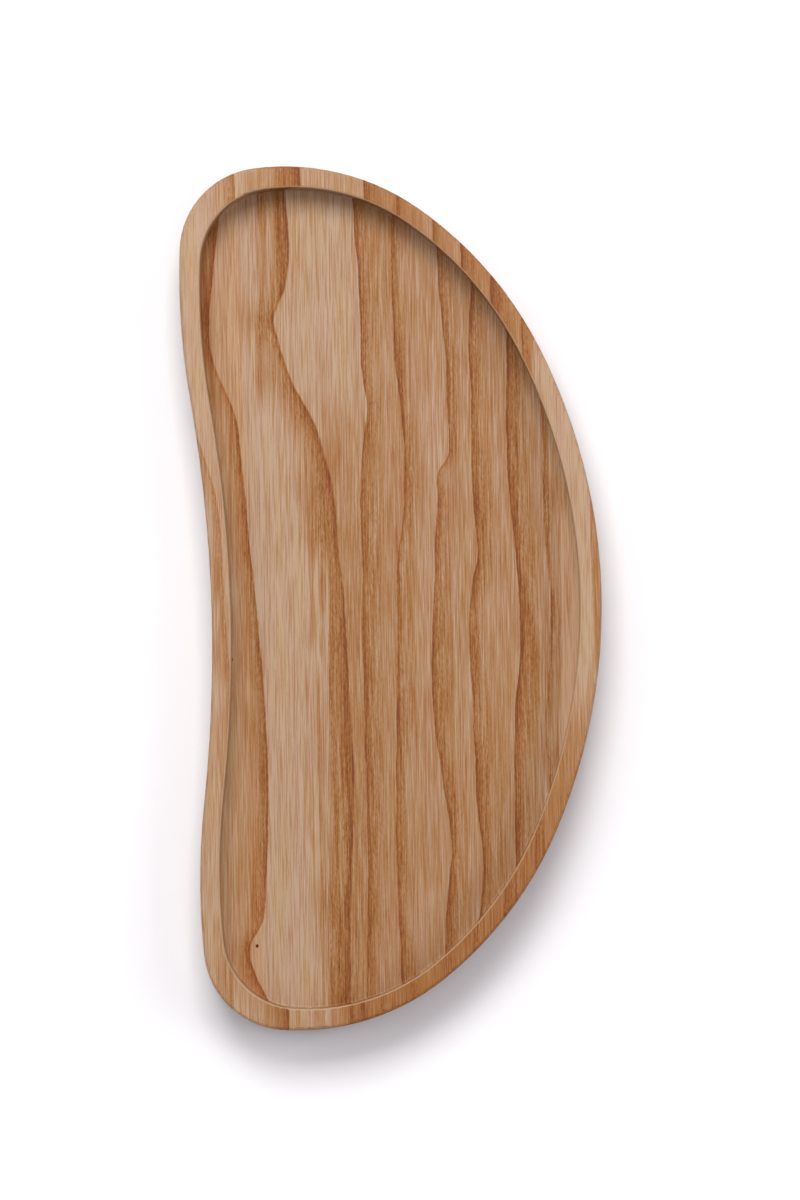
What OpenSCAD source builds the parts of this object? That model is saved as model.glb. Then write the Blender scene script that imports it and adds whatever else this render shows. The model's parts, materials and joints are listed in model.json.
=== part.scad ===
// Bean-shaped coin tray, milled from one board of ash and standing on four felt pads.
// The tray stands on Z = 0 with its length along Y. Its waist faces -X and its belly faces +X.
// The outline mirrors across the X axis. Each half runs through five arcs that meet tangentially:
// belly, back, shoulder, horn and side. An arc is given by its radius and by the angle that the edge
// turns through along it. The hollow waist arc that closes the outline follows from the others.
// The recess turns through the same angles on tighter radii, so the rim swells round the horns.

/* [Board] */
// Overall length, from horn to horn
tray_length = 200; // [150:1:260]
// Thickness of the board
board_t = 16; // [14:0.5:22]
// Depth of the recess, from the top of the rim to the floor
recess_depth = 9.5; // [6:0.5:10]
// Width of the rim at the middle of the belly
belly_rim_w = 5; // [4.5:0.25:6]

/* [Turn of each arc in degrees] */
// From the middle of the belly to its end
belly_turn = 25; // [24:0.5:26]
// Back, between belly and shoulder
back_turn = 28; // [27:0.5:29]
// Shoulder, between back and horn
shoulder_turn = 43; // [42:0.5:44]
// Horn, the round end of the bean
horn_turn = 80; // [79:0.5:81]
// Side, between horn and waist
side_turn = 12; // [10:0.5:14]

/* [Radius of each arc on a 200 mm tray] */
// Belly
belly_r = 132.5; // [125:0.5:140]
// Back
back_r = 88; // [82:0.5:94]
// Shoulder
shoulder_r = 54; // [50:0.5:58]
// Horn
horn_r = 19.5; // [18:0.5:22]
// Side
side_r = 166; // [140:1:190]

/* [How much tighter the recess turns] */
// At the belly
belly_step = 1; // [0:0.5:2]
// At the back
back_step = 8; // [7:0.5:9]
// At the shoulder
shoulder_step = 7.5; // [7:0.5:8]
// At the horn
horn_step = 2; // [1.5:0.5:2.5]
// At the side
side_step = 6; // [4:1:8]

/* [Edges] */
// Round on the rim's outer edge
rim_outer_round = 0.8; // [0.3:0.1:1.5]
// Round on the rim's inner edge
rim_inner_round = 0.5; // [0.3:0.1:1.2]
// Round on the board's lower edge
base_round = 1.5; // [0.5:0.1:2.5]
// Fillet between the recess's wall and floor
floor_fillet = 0.6; // [0.3:0.1:2]

/* [Feet] */
// Diameter of a felt pad
pad_d = 14; // [10:0.5:16]
// Thickness of a felt pad
pad_t = 2; // [1.5:0.1:3]
// Thickness of the adhesive disc above it
adhesive_t = 0.3; // [0.2:0.05:0.5]
// Depth of the seat that takes the pad
seat_depth = 0.8; // [0.4:0.1:1.2]
// Gap round a pad in its seat
seat_gap = 0.4; // [0.2:0.1:1]
// Distance from the belly's edge to the middle of a pad
belly_pad_inset = 12.5; // [11:0.5:20]
// Angle from the X axis to a belly pad, about the belly's centre
belly_pad_angle = 17; // [12:1:20]

/* [Hidden] */
$fn = 96;
ash = [0.76, 0.58, 0.42];
felt = [0.30, 0.27, 0.25];
adhesive = [0.86, 0.84, 0.76];

// Places in the lists of arcs
shoulder = 2;
horn = 3;
side = 4;
turns = [belly_turn, back_turn, shoulder_turn, horn_turn, side_turn];
nominal_r = [belly_r, back_r, shoulder_r, horn_r, side_r];
steps = [belly_step, back_step, shoulder_step, horn_step, side_step];

// Unit vector that points along an angle
function along(a) = [cos(a), sin(a)];

// Direction that the edge faces at the end of arc n, where the middle of the belly faces 0
function facing(n) = n < 0 ? 0 : turns[n] + facing(n - 1);

// End of arc n on the upper half, with the belly's centre at the origin
function arc_end(r, n) = n == 0
    ? r[0] * along(facing(0))
    : arc_end(r, n - 1) + r[n] * (along(facing(n)) - along(facing(n - 1)));

// Centre of arc n on the upper half
function arc_centre(r, n) = arc_end(r, n) - r[n] * along(facing(n));

// An arc is [centre, radius, first angle, sweep]. The sweep is negative on the waist, which is hollow.
function belly_arc(r) = [[0, 0], r[0], -belly_turn, 2 * belly_turn];
function upper_arc(r, n) = [arc_centre(r, n), r[n], facing(n - 1), turns[n]];
function lower_arc(r, n) = [[arc_centre(r, n).x, -arc_centre(r, n).y], r[n], -facing(n), turns[n]];

// The waist's centre is on the X axis, outside the tray, on the line that squares off the side's end
waist_half = facing(side) - 180;
function waist_r(r) = arc_end(r, side).y / sin(waist_half);
function waist_centre(r) = [arc_end(r, side).x - waist_r(r) * cos(waist_half), 0];
function waist_arc(r) = [waist_centre(r), waist_r(r), waist_half, -2 * waist_half];

// All arcs of an outline, counter-clockwise
function outline(r) = [
    belly_arc(r),
    for (n = [1:side]) upper_arc(r, n),
    waist_arc(r),
    for (n = [side:-1:1]) lower_arc(r, n)
];

// The radii are scaled together to the wanted length, which ends where the edge faces Y
function half_length(r) = max([for (n = [shoulder, horn]) arc_centre(r, n).y + r[n]]);
grow = tray_length / (2 * half_length(nominal_r));
body_r = grow * nominal_r;
recess_r = grow * (nominal_r - steps);

// The tray is widest from the belly to the sides, and the middle of that width is at X = 0
tray_w = body_r[0] - arc_centre(body_r, side).x + body_r[side];
body_x = tray_w / 2 - body_r[0];
recess_x = tray_w / 2 - belly_rim_w - recess_r[0];

// Heights above the surface that the tray stands on
base_z = pad_t + adhesive_t - seat_depth;
top_z = base_z + board_t;
floor_z = top_z - recess_depth;

// Middles of the pads under the upper half: on the horn's own centre, and inside the belly's edge
horn_pad = [body_x, 0] + arc_centre(body_r, horn);
belly_pad = [body_x, 0] + (body_r[0] - belly_pad_inset) * along(belly_pad_angle);

// Width of the band that follows an edge, less than the smallest radius of the recess
band_w = 0.6 * recess_r[horn];
// Points on each arc of the plate inside the band
plate_points = 6;
// How far a cut reaches past the face that it opens
clear = 1;

// Moves by hundredths of a millimetre and then by the rest, so that arcs meet to the last digit
module place(v) {
    coarse = [for (x = v) round(100 * x) / 100];
    translate(coarse)
        translate(v - coarse)
            children();
}

// Sweeps a cross-section along an arc: its x is 0 on the edge and grows into the tray
module sweep(arc) {
    place(arc[0])
        rotate_extrude(angle = abs(arc[3]), start = min(arc[2], arc[2] + arc[3]))
            place([arc[1], 0])
                mirror([arc[3] > 0 ? 1 : 0, 0])
                    children();
}

// Flat plate that fills an outline out to the middle of its band
module plate(arcs, z, t) {
    points = [
        for (arc = arcs, i = [0:plate_points - 1])
            arc[0] + (arc[1] - sign(arc[3]) * band_w / 2) * along(arc[2] + arc[3] * i / plate_points)
    ];
    translate([0, 0, z])
        linear_extrude(t)
            polygon(points);
}

// What a round of radius r takes off a square corner at the origin, with its sides along +x and +y
module corner_waste(r) {
    difference() {
        translate([-clear, -clear])
            square(r + clear);
        translate([r, r])
            circle(r);
    }
}

// Cross-section of the board along its edge
module board_section() {
    difference() {
        translate([0, base_z])
            square([band_w, board_t]);
        translate([0, base_z])
            corner_waste(base_round);
        translate([0, top_z])
            mirror([0, 1])
                corner_waste(rim_outer_round);
    }
}

// Cross-section of the recess along its wall, flared at the top by the round on the rim's inner edge
module recess_section() {
    difference() {
        translate([-rim_inner_round, floor_z])
            square([rim_inner_round + band_w, recess_depth + clear]);
        translate([0, floor_z])
            corner_waste(floor_fillet);
        translate([-rim_inner_round - clear, floor_z - clear])
            square([rim_inner_round + clear, recess_depth + clear - rim_inner_round]);
        translate([-rim_inner_round, top_z - rim_inner_round])
            circle(rim_inner_round);
    }
}

module board() {
    arcs = outline(body_r);
    for (arc = arcs)
        sweep(arc)
            board_section();
    plate(arcs, base_z, board_t);
}

module recess() {
    arcs = outline(recess_r);
    for (arc = arcs)
        sweep(arc)
            recess_section();
    plate(arcs, floor_z, recess_depth + clear);
}

// Shallow seats that keep the pads from sliding off
module pad_seats() {
    for (p = [horn_pad, belly_pad], s = [1, -1])
        translate([p.x, s * p.y, base_z - clear])
            cylinder(d = pad_d + 2 * seat_gap, h = seat_depth + clear);
}

module tray_body() {
    color(ash)
        difference() {
            translate([body_x, 0])
                board();
            translate([recess_x, 0])
                recess();
            pad_seats();
        }
}

// A pad at p, or with s = -1 at its mirror image in the lower half
module felt_pad(p, s) {
    color(felt)
        translate([p.x, s * p.y])
            cylinder(d = pad_d, h = pad_t);
}

module adhesive_disc(p, s) {
    color(adhesive)
        translate([p.x, s * p.y, pad_t])
            cylinder(d = pad_d, h = adhesive_t);
}

tray_body();
felt_pad(horn_pad, 1);  // felt_pad_upper_horn
felt_pad(belly_pad, 1);  // felt_pad_upper_belly
felt_pad(belly_pad, -1);  // felt_pad_lower_belly
felt_pad(horn_pad, -1);  // felt_pad_lower_horn
adhesive_disc(horn_pad, 1);  // adhesive_disc_upper_horn
adhesive_disc(belly_pad, 1);  // adhesive_disc_upper_belly
adhesive_disc(belly_pad, -1);  // adhesive_disc_lower_belly
adhesive_disc(horn_pad, -1);  // adhesive_disc_lower_horn
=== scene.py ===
import json
import math
from collections import namedtuple

import bmesh
import bpy
from mathutils import Matrix, Vector
from mathutils.noise import noise as bumps


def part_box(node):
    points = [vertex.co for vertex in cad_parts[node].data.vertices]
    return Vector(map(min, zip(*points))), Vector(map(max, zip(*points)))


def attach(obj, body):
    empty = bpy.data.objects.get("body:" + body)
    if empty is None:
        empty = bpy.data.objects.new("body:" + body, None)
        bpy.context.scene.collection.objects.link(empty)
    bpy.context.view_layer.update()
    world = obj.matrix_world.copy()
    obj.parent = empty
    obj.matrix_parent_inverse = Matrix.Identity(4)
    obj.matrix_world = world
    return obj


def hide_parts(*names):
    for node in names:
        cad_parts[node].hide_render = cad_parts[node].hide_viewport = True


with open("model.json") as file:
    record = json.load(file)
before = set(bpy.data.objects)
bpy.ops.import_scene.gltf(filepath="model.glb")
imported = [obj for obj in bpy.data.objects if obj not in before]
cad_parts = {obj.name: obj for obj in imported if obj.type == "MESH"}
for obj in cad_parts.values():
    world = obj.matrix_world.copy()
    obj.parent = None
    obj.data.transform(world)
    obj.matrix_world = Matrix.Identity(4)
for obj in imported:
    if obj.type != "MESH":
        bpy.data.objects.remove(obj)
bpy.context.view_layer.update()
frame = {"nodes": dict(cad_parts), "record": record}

# Coin tray of ash wood on felt pads, seen from straight above as in the photograph.
# Sizes are millimetres unless a name says otherwise, and MM turns them into Blender's metres.
MM = 0.001

# Heights that the frame gives
RIM_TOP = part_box("tray_body")[1].z / MM
RECESS_FLOOR = frame["record"]["mounts"][1]["pos_m"][2] / MM

# The photograph
PHOTO_W = 800
PHOTO_H = 1200
# Width of one photo pixel at the height of the rim
PIXEL = 0.2312
# Photo pixel where the middle of the tray is
MIDDLE_PX = (395.6, 594.4)
# Photo pixel that lies straight below the camera
BELOW_CAMERA_PX = (590, 800)
# Height of the camera above the rim
CAMERA_HEIGHT = 2700
# The tray lies turned by this angle in the photo, counter-clockwise
TRAY_TURN = math.radians(2)

# Directions of the photo's upper and right edges, seen from the tray
PHOTO_UP = Vector((math.sin(TRAY_TURN), math.cos(TRAY_TURN), 0))
PHOTO_RIGHT = Vector((math.cos(TRAY_TURN), -math.sin(TRAY_TURN), 0))


def at_pixel(pixel, height):
    """Place of a photo pixel on the level of the rim, raised to a height."""
    right = (pixel[0] - MIDDLE_PX[0]) * PIXEL
    up = (MIDDLE_PX[1] - pixel[1]) * PIXEL
    place = right * PHOTO_RIGHT + up * PHOTO_UP
    place.z = height
    return place


def add_object(name, data):
    """New object in the scene."""
    thing = bpy.data.objects.new(name, data)
    bpy.context.scene.collection.objects.link(thing)
    return thing


def add_camera():
    """Camera above the tray, a little below and to the right of it, as the photo's walls show."""
    data = bpy.data.cameras.new("photo_camera")
    camera = add_object("photo_camera", data)
    place = at_pixel(BELOW_CAMERA_PX, RIM_TOP + CAMERA_HEIGHT)
    target = at_pixel((PHOTO_W / 2, PHOTO_H / 2), RIM_TOP)
    back = (place - target).normalized()
    right = PHOTO_UP.cross(back).normalized()
    up = back.cross(right)
    camera.rotation_euler = Matrix((right, up, back)).transposed().to_euler()
    camera.location = place * MM
    data.lens = data.sensor_width * (place - target).length / (PHOTO_H * PIXEL)
    data.clip_end = 2 * CAMERA_HEIGHT * MM
    bpy.context.scene.camera = camera


# Plain white floor
FLOOR_REACH = 3000
FLOOR_COLOUR = (0.84, 0.83, 0.84)


def add_floor():
    """White floor under the tray."""
    mesh = bpy.data.meshes.new("floor")
    corners = [(x * FLOOR_REACH * MM, y * FLOOR_REACH * MM, 0) for x, y in ((-1, -1), (1, -1), (1, 1), (-1, 1))]
    mesh.from_pydata(corners, [], [(0, 1, 2, 3)])
    floor = add_object("floor", mesh)
    white = bpy.data.materials.new("white_floor")
    white.use_nodes = True
    shader = white.node_tree.nodes["Principled BSDF"]
    shader.inputs["Base Color"].default_value = (*FLOOR_COLOUR, 1)
    shader.inputs["Roughness"].default_value = 0.9
    shader.inputs["Specular IOR Level"].default_value = 0.2
    mesh.materials.append(white)


# A softbox: its bearing clockwise from the photo's upper edge and its height in degrees, its width and
# height in metres, and its power in watts
Softbox = namedtuple("Softbox", "name bearing rise width height power")
SOFTBOXES = [
    Softbox("key_softbox", -8, 60, 0.6, 0.5, 10.8),
    Softbox("overhead_softbox", 0, 88, 0.6, 0.6, 1.6),
    Softbox("right_softbox", 88, 45, 0.5, 0.6, 4.0),
    Softbox("left_softbox", -75, 50, 0.8, 0.45, 3.2),
]
# Distance of every softbox from the tray, in metres
SOFTBOX_DISTANCE = 1.2
# Light that comes evenly from all sides, and the brighter backdrop that stands round the horizon
ROOM_COLOUR = (1, 0.975, 1.1)
ROOM_LIGHT = 0.28
BACKDROP_LIGHT = 0.9
# Height of the backdrop's edge, as the sine of its angle above the horizon
BACKDROP_TOP = 0.1


def add_lights():
    """Four softboxes round the upper half of the photo and above it, and an even room."""
    for box in SOFTBOXES:
        data = bpy.data.lights.new(box.name, "AREA")
        data.shape = "RECTANGLE"
        data.size = box.width
        data.size_y = box.height
        data.energy = box.power
        light = add_object(box.name, data)
        bearing = math.radians(box.bearing)
        rise = math.radians(box.rise)
        level = math.sin(bearing) * PHOTO_RIGHT + math.cos(bearing) * PHOTO_UP
        towards = math.cos(rise) * level + Vector((0, 0, math.sin(rise)))
        light.location = towards * SOFTBOX_DISTANCE
        light.rotation_euler = towards.to_track_quat("Z", "Y").to_euler()
    world = bpy.data.worlds.new("room")
    world.use_nodes = True
    tree = world.node_tree
    split = tree.nodes.new("ShaderNodeSeparateXYZ")
    tree.links.new(tree.nodes.new("ShaderNodeTexCoord").outputs["Generated"], split.inputs[0])
    light = Value(split.outputs["Z"]).step(BACKDROP_TOP, 2 * BACKDROP_TOP, BACKDROP_LIGHT, ROOM_LIGHT)
    background = tree.nodes["Background"]
    background.inputs["Color"].default_value = (*ROOM_COLOUR, 1)
    connect(light, background.inputs["Strength"])
    bpy.context.scene.world = world
    bpy.context.scene.view_settings.view_transform = "Standard"


class Value:
    """A number that varies over a surface. It is the output of a shader node, and takes part in sums."""

    def __init__(self, socket):
        self.socket = socket
        self.tree = socket.id_data

    def sum(self, operation, *others):
        node = self.tree.nodes.new("ShaderNodeMath")
        node.operation = operation
        for slot, part in zip(node.inputs, others):
            connect(part, slot)
        return Value(node.outputs[0])

    def __add__(self, other):
        return self.sum("ADD", self, other)

    def __sub__(self, other):
        return self.sum("SUBTRACT", self, other)

    def __rsub__(self, other):
        return self.sum("SUBTRACT", other, self)

    def __mul__(self, other):
        return self.sum("MULTIPLY", self, other)

    def __neg__(self):
        return self * -1

    __radd__ = __add__
    __rmul__ = __mul__

    def root(self):
        return self.sum("SQRT", self)

    def sine(self):
        return self.sum("SINE", self)

    def at_least(self, other):
        return self.sum("MAXIMUM", self, other)

    def at_most(self, other):
        return self.sum("MINIMUM", self, other)

    def fading(self, reach):
        """1 where the value is 0, falling to a third of that with every reach."""
        return self.sum("EXPONENT", self * (-1 / reach))

    def step(self, start, end, low=0, high=1):
        """Smooth step from low to high as the value goes from start to end."""
        node = self.tree.nodes.new("ShaderNodeMapRange")
        node.interpolation_type = "SMOOTHSTEP"
        for slot, part in zip(node.inputs, (self, start, end, low, high)):
            connect(part, slot)
        return Value(node.outputs[0])

    def towards(self, other, share):
        """The value, turned into another one by a share from 0 to 1."""
        return self + (other - self) * share

    def curve(self, points):
        """Height at this value of the smooth curve through points, all within half of CURVE_SPAN of 0."""
        node = self.tree.nodes.new("ShaderNodeFloatCurve")
        curve = node.mapping.curves[0]
        places = sorted([a / CURVE_SPAN + 0.5, b / CURVE_SPAN + 0.5] for a, b in points)
        for end, place in zip(curve.points, (places[0], places[-1])):
            end.location = place
        for place in places[1:-1]:
            curve.points.new(*place)
        node.mapping.extend = "HORIZONTAL"
        node.mapping.update()
        connect(self * (1 / CURVE_SPAN) + 0.5, node.inputs["Value"])
        return (Value(node.outputs[0]) - 0.5) * CURVE_SPAN


# Width and height of the square that every curve is drawn in
CURVE_SPAN = 220


def connect(part, slot):
    """Puts a Value or a plain number on a node's input."""
    if isinstance(part, Value):
        part.tree.links.new(part.socket, slot)
    else:
        slot.default_value = part


def new_material(name):
    """Empty procedural material: its tree, its shader, and its place on the part along x, y and z."""
    material = bpy.data.materials.new(name)
    material.use_nodes = True
    tree = material.node_tree
    place = tree.nodes.new("ShaderNodeTexCoord").outputs["Object"]
    split = tree.nodes.new("ShaderNodeSeparateXYZ")
    tree.links.new(place, split.inputs[0])
    axes = [Value(out) * (1 / MM) for out in split.outputs]
    return material, tree.nodes["Principled BSDF"], axes


def joined(x, y, z):
    """Socket of the vector of three values."""
    node = x.tree.nodes.new("ShaderNodeCombineXYZ")
    for slot, part in zip(node.inputs, (x, y, z)):
        connect(part, slot)
    return node.outputs[0]


def noise(x, y, z, detail=2, roughness=0.5):
    """Smooth noise from about -1 to 1, with one bump or dip for each unit of x, y and z."""
    node = x.tree.nodes.new("ShaderNodeTexNoise")
    node.inputs["Scale"].default_value = 1
    node.inputs["Detail"].default_value = detail
    node.inputs["Roughness"].default_value = roughness
    x.tree.links.new(joined(x, y, z), node.inputs["Vector"])
    return (Value(node.outputs["Fac"]) - 0.5) * 4


def ramp(value, low, high, colours):
    """Socket of the colour that a value takes between evenly spaced linear colours."""
    node = value.tree.nodes.new("ShaderNodeValToRGB")
    stops = node.color_ramp.elements
    for n in range(len(colours) - len(stops)):
        stops.new(0.5)
    for n, colour in enumerate(colours):
        stops[n].position = n / (len(colours) - 1)
        stops[n].color = (*colour, 1)
    connect((value - low) * (1 / (high - low)), node.inputs[0])
    return node.outputs["Color"]


def multiplied(first, second):
    """Socket of the product of two colours."""
    node = first.id_data.nodes.new("ShaderNodeMix")
    node.data_type = "RGBA"
    node.blend_type = "MULTIPLY"
    node.inputs["Factor"].default_value = 1
    first.id_data.links.new(first, node.inputs["A"])
    first.id_data.links.new(second, node.inputs["B"])
    return node.outputs["Result"]


def surface_direction(material):
    """The three parts of the direction that the surface faces."""
    tree = material.node_tree
    split = tree.nodes.new("ShaderNodeSeparateXYZ")
    tree.links.new(tree.nodes.new("ShaderNodeNewGeometry").outputs["Normal"], split.inputs[0])
    return [Value(out) for out in split.outputs]


def add_bump(shader, height, depth, strength):
    """Gives a shader's surface a relief of that depth where height goes from 0 to 1."""
    tree = shader.id_data
    bump = tree.nodes.new("ShaderNodeBump")
    bump.inputs["Strength"].default_value = strength
    bump.inputs["Distance"].default_value = depth * MM
    connect(height, bump.inputs["Height"])
    tree.links.new(bump.outputs[0], shader.inputs["Normal"])


# How bright the softboxes and the room make a white surface in red, green and blue, and the shine that they
# add to wood
LIGHT_LEVEL = (1.43, 1.425, 1.455)
SHINE = 0.033


def own_colour(seen):
    """Linear colour of a surface that shows under this light as an sRGB colour in parts of 255."""
    shown = [((part / 255 + 0.055) / 1.055) ** 2.4 for part in seen]
    return [max(part - SHINE, 0.05 * part) / light for part, light in zip(shown, LIGHT_LEVEL)]


# Growth rings of the board, from the middle of the tray outward. A ring begins with a sharp dark line, goes
# on with a brown band of pores, and ends in pale late wood. The points are (y, x) on the recess's floor,
# band is the width of the brown band there, and the rest are tones: 0 is pale and 1 is dark.
Ring = namedtuple("Ring", "line brown band late edge points")
LEFT_RINGS = [
    Ring(1, 0.8, 9.5, -0.3, 0.6, [
        (-95, -14), (-75, -13.2), (-60, -12.3), (-45, -11.4), (-25, -11.6), (-5, -12), (10, -13), (25, -13.8),
        (33, -15.5), (40, -17.4), (45, -19.7), (50, -22.4), (55, -24), (60, -25.3), (65, -26.2), (68, -25.2),
        (73, -23.2), (80, -22.2), (95, -22.8),
    ]),
    Ring(1, 0.4, 5.0, -0.15, 0.4, [
        (-95, -32), (-91, -33.9), (-86, -36), (-81.5, -36.8), (-78.8, -36.2), (-77, -34.8), (-74, -33.4),
        (-70, -32.8), (-62, -32.2), (-55, -31.7), (-40, -31.1), (-20, -31.6), (0, -32.7), (20, -34), (35, -35),
        (42, -35.7), (50, -38.5), (56, -40.6), (63, -41.2), (75, -40), (90, -38),
    ]),
    Ring(0.5, 0.25, 4.0, -0.35, 0.4, [
        (-95, -45), (-56, -43.5), (-43, -43), (-28, -42.8), (-12, -43.1), (0, -43.8), (19, -44.3),
        (28, -45.6), (34, -47.4), (50, -52), (95, -56),
    ]),
]
RIGHT_RINGS = [
    Ring(1.1, 0.5, 4.6, 0.22, 0.25, [
        (-92, -10.1), (-70, -9), (-50, -8.5), (-20, -8.3), (10, -7.6), (28, -7.2), (36, -6.3), (44, -5.3),
        (50, -6), (70, -6.2), (92, -7),
    ]),
    Ring(1.1, 0.42, 4.6, 0.1, 0.25, [
        (-90, -1.8), (-52, -1.8), (-38, -1.3), (-22, -0.5), (-5, 0), (6, 0.4), (15, 1.8), (22, 2.6), (32, 3),
        (40, 2.8), (50, 1.9), (62, 1.4), (75, 1.5), (90, 2),
    ]),
    Ring(1.1, 0.45, 4.6, 0.12, 0.25, [
        (-83, 8.5), (-72, 9.2), (-65, 10.2), (-60, 10.9), (-50, 10.2), (-40, 8.9), (-30, 7.9), (-18, 7.8),
        (0, 8.7), (12, 9.5), (22, 10.4), (28.5, 10.8), (30, 11.9), (32, 13.2), (36, 13.5), (45, 13.2),
        (55, 13.4), (65, 12.7), (80, 12.2),
    ]),
    Ring(1.1, 0.5, 5.0, 0.18, 0.25, [
        (-76, 16.5), (-65, 17.9), (-50, 17.2), (-25, 16.8), (-12, 16.6), (-5, 16.9), (3, 18), (8.5, 19.2),
        (14, 19), (20, 18.6), (45, 18.9), (62, 19), (71, 20),
    ]),
    Ring(1.3, 0.65, 6.0, 0.12, 0.25, [
        (-64, 25.6), (-50, 25.8), (-35, 26.2), (-27, 26.7), (-22, 27.3), (-16, 28.2), (-10, 28.5), (3, 28.3),
        (12, 27.7), (20, 27.1), (38, 26.9), (50, 27.4), (60, 27.8),
    ]),
    # This ring beside the right wall has pale late wood: partly the wood's tone, partly painted light that lifts the
    # shade by that wall
    Ring(0.7, 0.45, 5.5, -0.45, 0.3, [
        (-45, 33.9), (-30, 33.7), (-20, 34.6), (-8, 35.5), (2, 35.6), (12, 35), (40, 35.1), (45, 34.9),
    ]),
    Ring(0.15, 0.25, 4.0, 0.1, 0.6, [(-60, 49), (-26, 49.5), (0, 49.3), (30, 49.4), (60, 50)]),
]

# The rings are arcs round a heart that lies below the board, so they lean towards it as they rise.
# Lean is the shift in x for each millimetre of height, at the two ends of a smooth change across the board.
LEAN_LEFT = 0.43
LEAN_RIGHT = -0.40
LEAN_FROM = -15
LEAN_TO = 31

# The grain drifts to the right by this share of the way up the tray
GRAIN_DRIFT = 0.021

# Lightest and darkest tones of the wood, and the colours that the photo shows between them
PALE_TONE = -0.5
DARK_TONE = 2.5
WOOD_COLOURS = [
    (201, 168, 139), (186, 143, 106), (176, 122, 73), (160, 101, 48), (137, 77, 34), (106, 56, 26), (62, 36, 20),
]

# Pin knots: x, y and radius
PIN_KNOTS = [(-38.6, -13.6, 0.12), (-35.1, -80.2, 0.16)]

# Reddish stains beside the lines: x, y, half of the width and half of the length
RED_STAINS = [(1.9, 24.4, 0.9, 4), (0.2, 12.8, 0.7, 4), (-0.4, 31, 1.0, 3.5), (-15.2, 25.6, 1.2, 7)]


def ring_tone(x, y, streak, rings, side, tone):
    """Tone of the rings on one side of the middle: +1 is the right side, -1 the left."""
    for number, ring in enumerate(rings):
        out = (x - y.curve(ring.points)) * side
        deep = out.at_least(0)
        wander = noise(y * 0.05, x * 0.02, 3.1 * number + side, 1)
        line = (deep.fading(0.35) * 0.62 + deep.fading(1.3) * 0.42) * (wander * (0.3 * ring.line) + ring.line)
        width = ring.band * (wander * 0.25 + 1) + streak * (0.35 * ring.band)
        band = (deep - width).step(-1.1 * ring.band, 0.2 * ring.band, ring.brown, ring.late)
        tone = tone.towards(line + band + wander * 0.06, out.step(-0.4 * ring.edge, 0.6 * ring.edge))
    return tone


def distance(x, y, middle_x, middle_y, half_width, half_length):
    """Distance from a middle, where 1 is the edge of an ellipse of that width and length."""
    dx = (x - middle_x) * (1 / half_width)
    dy = (y - middle_y) * (1 / half_length)
    return (dx * dx + dy * dy).root()


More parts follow.
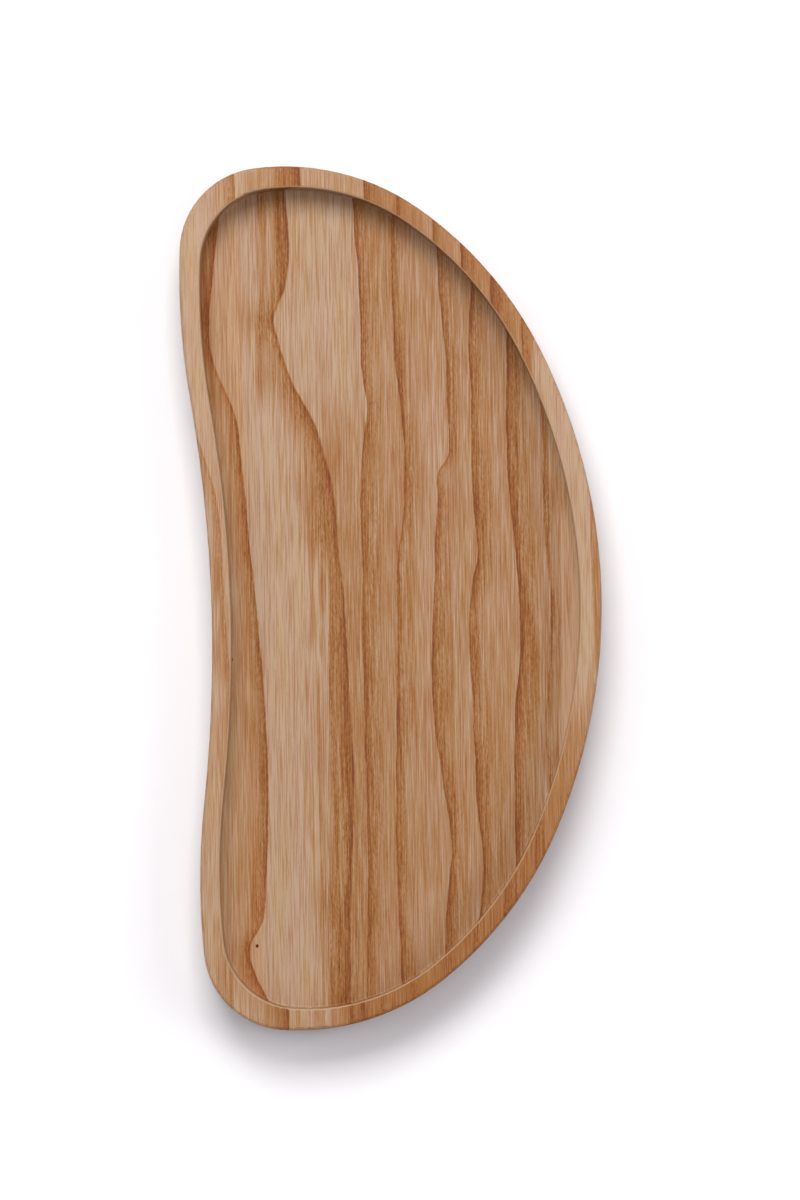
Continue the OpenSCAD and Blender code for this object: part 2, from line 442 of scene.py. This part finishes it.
def ash_wood():
    """Flat-sawn ash: dark lines of pores where each growth ring begins, long fibres and short pores."""
    material, shader, (x, y, z) = new_material("ash_wood")
    lean = x.step(LEAN_FROM, LEAN_TO, LEAN_LEFT, LEAN_RIGHT)
    level = x - lean * (z - RECESS_FLOOR)
    ragged = noise(level * 0.1, y * 0.12, z * 0.1, 3) * 0.2 + noise(level * 0.5, y * 0.6, z * 0.5, 1) * 0.05
    along = level + ragged
    straight = level - y * GRAIN_DRIFT

    cloud = noise(straight * 0.12, y * 0.018, z * 0.1, 3)
    streak = noise(straight * 0.9, y * 0.025, z * 0.9, 2)
    tone = y.step(20, 60, 0.3, -0.22) + cloud * 0.08
    tone = ring_tone(along, y, streak, LEFT_RINGS, -1, tone)
    tone = ring_tone(along, y, streak, RIGHT_RINGS, 1, tone)
    pores_here = tone.step(0.1, 0.6)

    # The rim's top shows a browner layer of the board than the floor does, most at the lower right
    high = z.step(RECESS_FLOOR + 5, RIM_TOP)
    left_rim = y.step(-96, -88, -0.25, 0) + y.step(-30, -18, 0.14, -0.04) + y.step(28, 40, 0, -0.12)
    rim = high * x.step(-38, -29, left_rim, x.step(25, 38, 0.22, 0.09))
    lower_right = high * y.step(-42, -12, 0.65, 0) * (x - y * 0.4).step(24, 36)
    # Painted shade: the floor along the upper left wall is painted darker, where the wall's shade falls
    painted_shade_upper_left = (1 - high) * y.step(34, 48) * level.step(-41.5, -39, 0.45, 0)
    tone = (tone + rim).towards(0.9, lower_right) + painted_shade_upper_left
    fibre = noise(straight * 1.8, y * 0.06, z * 1.8, 2, 0.6)
    thread = noise(straight * 4.8, y * 0.11, z * 4.8, 1)
    dash = noise(straight * 5.2, y * 0.9, z * 5.2, 1)
    dark_dash = dash.step(0.1, 0.9)
    pale_dash = (-dash).step(0.1, 0.9)
    tone = tone + cloud * 0.05 + streak * 0.1 + fibre * 0.13 + thread * 0.57
    tone = (tone + (dark_dash * 0.4 - pale_dash * 0.38) * (pores_here * 0.75 + 0.25)).at_most(1.5)

    # The eased edge of the recess is painted paler: partly paler worn wood, partly a painted highlight where the edge
    # catches the light
    facing = surface_direction(material)
    inward = -(facing[0] * x + facing[1] * y) * 0.02
    edge_highlight_and_wear = z.step(RIM_TOP - 0.7, RIM_TOP - 0.4) * facing[2].step(0.9, 0.99, 1, 0) * inward.step(0.1, 0.3)
    # Painted light: the inner wall along the waist, which faces right, is painted paler than the floor beside it, as
    # light from the right would make it
    painted_light_on_wall = facing[2].step(0.2, 0.7, 1, 0) * facing[0].step(0.4, 0.9) * inward.step(0.2, 0.5)
    tone = tone.towards(-0.5, edge_highlight_and_wear * 0.8) - painted_light_on_wall * 0.5

    for knot_x, knot_y, radius in PIN_KNOTS:
        away = distance(x, y, knot_x, knot_y, radius, radius * 1.2) + z.step(RECESS_FLOOR + 0.4, RECESS_FLOOR + 1, 0, 9)
        tone = tone.towards(-0.3, away.step(3, 8, 0.5, 0)).towards(2.6, away.step(1, 3, 1, 0))
    red = 0
    for stain_x, stain_y, half_width, half_length in RED_STAINS:
        away = distance(straight, y, stain_x, stain_y, half_width, half_length)
        red = away.step(0.2, 1.1, 1, 0) + red

    tree = material.node_tree
    stain = noise(straight * 0.55, y * 0.035, z * 0.55 + 20, 2)
    hue = ramp(stain, -1, 1, [(1, 0.97, 1.06), (1, 1, 1), (1, 0.995, 0.84)])
    # Painted warm light: the floor along the two long walls is painted warmer and redder, as light thrown back by the
    # walls would make it, lifting the shade there
    beside_walls = (level.step(35.5, 39.5) + level.step(-35, -32.5, 1, 0)).towards(0.15, high)
    painted_warm_bounce = ramp(beside_walls, 0, 1, [(1, 1, 1), (1.07, 0.98, 0.82)])
    blush = ramp(red * (thread * 0.6 + 0.9), 0, 1, [(1, 1, 1), (0.97, 0.72, 0.55)])
    wood = ramp(tone, PALE_TONE, DARK_TONE, [own_colour(seen) for seen in WOOD_COLOURS])
    tree.links.new(multiplied(multiplied(multiplied(wood, hue), blush), painted_warm_bounce), shader.inputs["Base Color"])
    connect(tone.step(-0.3, 1.5, 0.5, 0.68), shader.inputs["Roughness"])
    shader.inputs["IOR"].default_value = 1.45
    add_bump(shader, -(thread + dark_dash * pores_here * 3), 0.05, 0.4)
    return material


# Directions that the felt's fibres lie in, in degrees, and the felt's colours from shade to sunlit fibre
FIBRE_ANGLES = (0, 37, 71, 108, 142)
FELT_COLOURS = [(0.15, 0.13, 0.12), (0.29, 0.26, 0.24), (0.47, 0.43, 0.39)]


def pressed_felt():
    """Grey-brown wool felt: fine curly fibres that lie every way, some paler than others."""
    material, shader, (x, y, z) = new_material("pressed_felt")
    curl_x = noise(x * 0.6, y * 0.6, z * 0.6) * 0.5
    curl_y = noise(y * 0.6, z * 0.6, x * 0.6 + 9) * 0.5
    fibres = 0
    for number, degrees in enumerate(FIBRE_ANGLES):
        angle = math.radians(degrees)
        along = (x + curl_x) * math.cos(angle) + (y + curl_y) * math.sin(angle)
        across = (y + curl_y) * math.cos(angle) - (x + curl_x) * math.sin(angle)
        strand = noise(along * 0.6 + 7 * number, across * 7, z * 5, 1)
        fibres = strand.step(0.1, 1.2).at_least(fibres)
    cloud = noise(x * 0.8, y * 0.8, z * 0.8, 3)
    tone = fibres * 0.6 + cloud * 0.15 + 0.2
    material.node_tree.links.new(ramp(tone, 0, 1, FELT_COLOURS), shader.inputs["Base Color"])
    connect(fibres.step(0, 1, 0.98, 0.85), shader.inputs["Roughness"])
    shader.inputs["Specular IOR Level"].default_value = 0.2
    shader.inputs["Sheen Weight"].default_value = 0.3
    shader.inputs["Sheen Roughness"].default_value = 0.5
    add_bump(shader, fibres + cloud * 0.3, 0.08, 0.7)
    return material


# Threads of the adhesive film's scrim in each millimetre
SCRIM_THREADS = 2.2


def adhesive_film():
    """Cream adhesive film: a fine scrim inside, and small blisters where it isn't pressed down."""
    material, shader, (x, y, z) = new_material("adhesive_film")
    turn = 2 * math.pi * SCRIM_THREADS
    weave = (x * turn).sine().at_least((y * turn).sine())
    blister = noise(x * 1.3, y * 1.3, z * 1.3, 2).step(0.2, 0.9)
    tone = weave * 0.2 + blister * 0.5 + noise(x * 0.3, y * 0.3, z * 0.3) * 0.2 + 0.3
    film = ramp(tone, 0, 1, [(0.66, 0.62, 0.52), (0.74, 0.71, 0.62), (0.82, 0.8, 0.74)])
    material.node_tree.links.new(film, shader.inputs["Base Color"])
    connect(blister.step(0, 1, 0.35, 0.6), shader.inputs["Roughness"])
    shader.inputs["IOR"].default_value = 1.47
    add_bump(shader, weave * 0.3 + blister, 0.03, 0.5)
    return material


# How far a felt pad's surface stands back at most, on its face and on its cut side
FACE_DENT = 0.07
SIDE_DENT = 0.2
# Radius of the soft edge where a pad's face meets its side, and the steps round that edge
SOFT_EDGE = 0.35
EDGE_STEPS = 4
# Steps round a pad, across its face and up its side
PAD_TURNS = 120
FACE_STEPS = 18
SIDE_STEPS = 5
# Size of the felt's lumps and of its tufts
LUMP = 1.6
TUFT = 0.5


def pad_section(radius, height):
    """Cross-section of a felt pad from the middle of its face to the middle of its top. Each point is the
    distance from the axis, the height, and the two parts of the way that the surface faces there."""
    flat = radius - SOFT_EDGE
    points = [(flat * n / FACE_STEPS, 0, 0, -1) for n in range(1, FACE_STEPS)]
    for n in range(EDGE_STEPS + 1):
        angle = math.pi / 2 * n / EDGE_STEPS
        out = math.sin(angle)
        down = math.cos(angle)
        points.append((flat + SOFT_EDGE * out, SOFT_EDGE * (1 - down), out, -down))
    for n in range(1, SIDE_STEPS + 1):
        points.append((radius, SOFT_EDGE + (height - SOFT_EDGE) * n / SIDE_STEPS, 1, 0))
    points += [(radius * n / EDGE_STEPS, height, 0, 0) for n in range(EDGE_STEPS - 1, 0, -1)]
    return points


def felt_place(middle, angle, point):
    """Place of one point of a pad's cross-section, with the felt's unevenness."""
    away, height, out, up = point
    level = Vector((math.cos(angle), math.sin(angle), 0))
    place = middle + away * level + Vector((0, 0, height))
    rough = 0.5 + 0.3 * bumps(place / LUMP) + 0.2 * bumps(place / TUFT)
    dent = rough * (SIDE_DENT * abs(out) + FACE_DENT * abs(up))
    facing = out * level + Vector((0, 0, up))
    return (place - dent * facing) * MM


def felt_pad(node, felt):
    """Disc of pressed felt in the place of a CAD pad: level on top, uneven below, with a soft cut edge."""
    low, high = (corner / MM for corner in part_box(node))
    middle = (low + high) / 2
    middle.z = low.z
    shape = bmesh.new()
    loops = []
    for point in pad_section((high.x - low.x) / 2, high.z - low.z):
        turns = [2 * math.pi * n / PAD_TURNS for n in range(PAD_TURNS)]
        loops.append([shape.verts.new(felt_place(middle, angle, point)) for angle in turns])
    for first, second in zip(loops, loops[1:]):
        for n in range(PAD_TURNS):
            shape.faces.new((first[n - 1], first[n], second[n], second[n - 1]))
    for loop, height, up in ((loops[0], 0, -1), (loops[-1], high.z - low.z, 0)):
        centre = shape.verts.new(felt_place(middle, 0, (0, height, 0, up)))
        for n in range(PAD_TURNS):
            shape.faces.new((loop[n - 1], loop[n], centre))
    bmesh.ops.recalc_face_normals(shape, faces=shape.faces)
    for face in shape.faces:
        face.smooth = True
    name = node.replace("felt_pad", "pressed_felt")
    mesh = bpy.data.meshes.new(name)
    shape.to_mesh(mesh)
    shape.free()
    mesh.materials.append(felt)
    pad = add_object(name, mesh)
    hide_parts(node)
    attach(pad, "root")


def paint(node, material):
    """Gives a CAD node one material."""
    slots = frame["nodes"][node].data.materials
    slots.clear()
    slots.append(material)


add_camera()
add_floor()
add_lights()
felt = pressed_felt()
film = adhesive_film()
paint("tray_body", ash_wood())
for corner in ("upper_horn", "upper_belly", "lower_belly", "lower_horn"):
    felt_pad("felt_pad_" + corner, felt)
    paint("adhesive_disc_" + corner, film)
